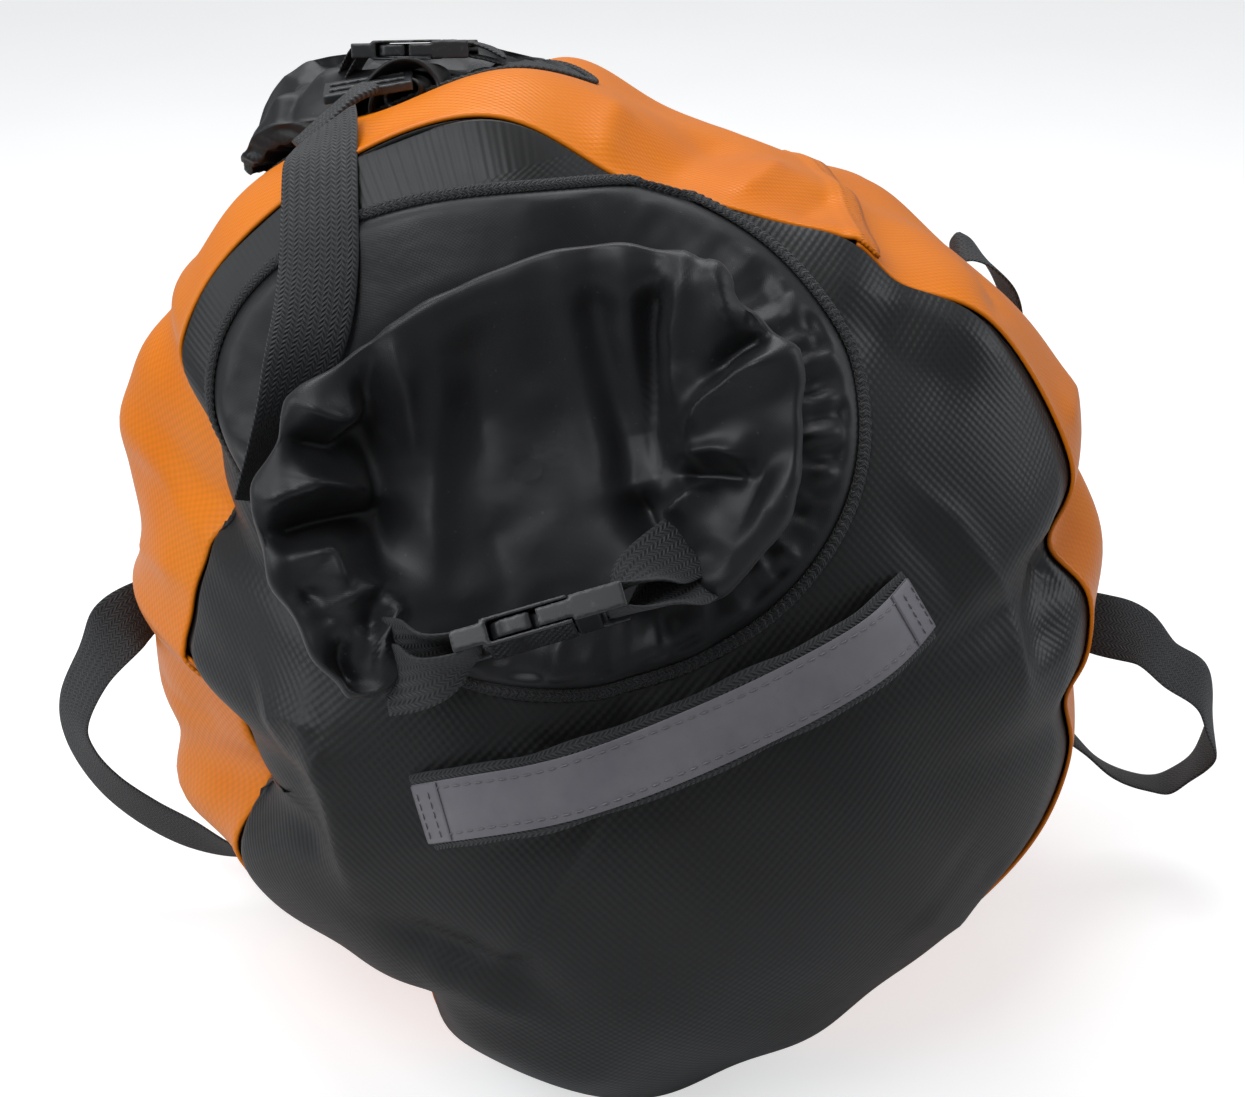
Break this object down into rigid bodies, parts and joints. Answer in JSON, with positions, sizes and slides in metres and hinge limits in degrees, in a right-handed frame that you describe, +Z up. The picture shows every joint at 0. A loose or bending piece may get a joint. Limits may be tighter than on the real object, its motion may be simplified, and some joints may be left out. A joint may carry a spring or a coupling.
{
  "type": "throw rope bag",
  "caption": "Soft PVC drum bag for a floating throw rope, with rolled nylon collars closed by side-release buckles, webbing loops and a reflective grab handle.",
  "frame": {"origin": "on the floor under the middle of the drum", "axes": "+Z up, the front end panel with the large collar and the grab handle faces -Y, +X to its right"},
  "size_m": [0.4806, 0.337, 0.3502],
  "materials": {
    "orange_pvc": "PVC-coated fabric, satin, woven grain showing through",
    "black_pvc": "PVC-coated fabric, satin to matte, woven grain showing through",
    "collar_nylon": "thin coated nylon, soft sheen, creased",
    "black_webbing": "woven polypropylene webbing",
    "black_plastic": "moulded acetal, satin, worn edges",
    "reflective_tape": "grey retroreflective tape, stitched",
    "rope": "braided floating rope",
    "foam": "closed-cell foam"
  },
  "bodies": {
    "root": {"wall_top_sheet": "orange_pvc", "wall_lower_sheet": "orange_pvc", "front_panel": "black_pvc", "back_panel": "black_pvc", "front_collar_skirt": "collar_nylon", "front_seam_binding": "black_webbing", "top_collar_skirt": "collar_nylon", "top_seam_binding": "black_webbing", "rope_coil": "rope", "foam_float": "foam"},
    "front_collar": {"front_collar_hood": "collar_nylon", "front_mouth_strip": "black_webbing", "front_buckle_female": "black_plastic", "front_female_tab": "black_webbing"},
    "front_male": {"front_buckle_male": "black_plastic", "front_male_tab": "black_webbing"},
    "front_latch_a": {"front_latch_a": "black_plastic"},
    "front_latch_b": {"front_latch_b": "black_plastic"},
    "top_collar": {"top_collar_hood": "collar_nylon", "top_mouth_strip": "black_webbing", "top_buckle_female": "black_plastic", "top_female_tab": "black_webbing"},
    "top_male": {"top_buckle_male": "black_plastic", "top_male_tab": "black_webbing"},
    "top_latch_a": {"top_latch_a": "black_plastic"},
    "top_latch_b": {"top_latch_b": "black_plastic"},
    "strap_slider": {"strap_slider": "black_plastic"},
    "strap_tail": {"strap_tail": "black_webbing"},
    "handle": {"front_handle": "black_webbing", "handle_reflector": "reflective_tape"},
    "left_loop": {"left_loop": "black_webbing"},
    "right_loop": {"right_loop": "black_webbing"},
    "rear_loop": {"rear_loop": "black_webbing"}
  },
  "joints": [
    {"name": "front_collar_tilt", "type": "hinge", "parent": "root", "child": "front_collar", "pos_m": [-0.04913, -0.0677, 0.30738], "axis": [-0.9612, -0.138, -0.239], "range_deg": [0, 15], "stiffness_Nm_per_rad": 1.5},
    {"name": "front_buckle_release", "type": "slide", "parent": "front_collar", "child": "front_male", "axis": [0.9612, 0.138, 0.239], "range_m": [0, 0.03], "stiffness_N_per_m": 60},
    {"name": "front_latch_a_squeeze", "type": "hinge", "parent": "front_male", "child": "front_latch_a", "pos_m": [-0.01501, -0.17207, 0.23649], "axis": [0.2718, -0.6241, -0.7326], "range_deg": [0, 7], "stiffness_Nm_per_rad": 0.2},
    {"name": "front_latch_b_squeeze", "type": "hinge", "parent": "front_male", "child": "front_latch_b", "pos_m": [-0.01424, -0.15977, 0.22629], "axis": [0.2718, -0.6241, -0.7326], "range_deg": [-7, 0], "stiffness_Nm_per_rad": 0.2},
    {"name": "top_collar_tilt", "type": "hinge", "parent": "root", "child": "top_collar", "pos_m": [-0.07348, 0.08997, 0.30294], "axis": [-0.9163, 0, -0.4006], "range_deg": [0, 8], "stiffness_Nm_per_rad": 1},
    {"name": "top_buckle_release", "type": "slide", "parent": "top_collar", "child": "top_male", "axis": [0.9956, -0.0862, 0.0374], "range_m": [0, 0.015], "stiffness_N_per_m": 60},
    {"name": "top_latch_a_squeeze", "type": "hinge", "parent": "top_male", "child": "top_latch_a", "pos_m": [-0.06624, 0.04994, 0.34282], "axis": [-0.0182, 0.2134, 0.9768], "range_deg": [0, 7], "stiffness_Nm_per_rad": 0.2},
    {"name": "top_latch_b_squeeze", "type": "hinge", "parent": "top_male", "child": "top_latch_b", "pos_m": [-0.06747, 0.03691, 0.34564], "axis": [-0.0182, 0.2134, 0.9768], "range_deg": [-7, 0], "stiffness_Nm_per_rad": 0.2},
    {"name": "slider_tilt", "type": "hinge", "parent": "root", "child": "strap_slider", "pos_m": [-0.088, 0.0245, 0.3375], "axis": [-0.9888, 0, -0.1494], "range_deg": [0, 12], "stiffness_Nm_per_rad": 0.05},
    {"name": "strap_swing", "type": "hinge", "parent": "strap_slider", "child": "strap_tail", "pos_m": [-0.09, 0.0025, 0.3394], "axis": [-0.9889, 0, -0.1483], "range_deg": [0, 45], "stiffness_Nm_per_rad": 0.01},
    {"name": "handle_lift", "type": "hinge", "parent": "root", "child": "handle", "pos_m": [0.01076, -0.12729, 0.18867], "axis": [-0.9218, -0.2016, -0.3311], "range_deg": [0, 18], "stiffness_Nm_per_rad": 0.05},
    {"name": "left_loop_swing", "type": "hinge", "parent": "root", "child": "left_loop", "pos_m": [-0.1605, 0.006, 0.079], "axis": [-0.4871, 0.2312, 0.8422], "range_deg": [-10, 22], "stiffness_Nm_per_rad": 0.03},
    {"name": "right_loop_swing", "type": "hinge", "parent": "root", "child": "right_loop", "pos_m": [0.172, 0.022, 0.1055], "axis": [0.2113, 0, 0.9774], "range_deg": [-20, 20], "stiffness_Nm_per_rad": 0.03},
    {"name": "rear_loop_swing", "type": "hinge", "parent": "root", "child": "rear_loop", "pos_m": [0.14335, 0.099, 0.23635], "axis": [-0.5123, 0.0507, 0.8573], "range_deg": [0, 15], "stiffness_Nm_per_rad": 0.03}
  ],
  "couplings": [
    {"joint": "front_latch_b_squeeze", "follows": "front_latch_a_squeeze", "ratio": -1},
    {"joint": "top_latch_b_squeeze", "follows": "top_latch_a_squeeze", "ratio": -1}
  ]
}
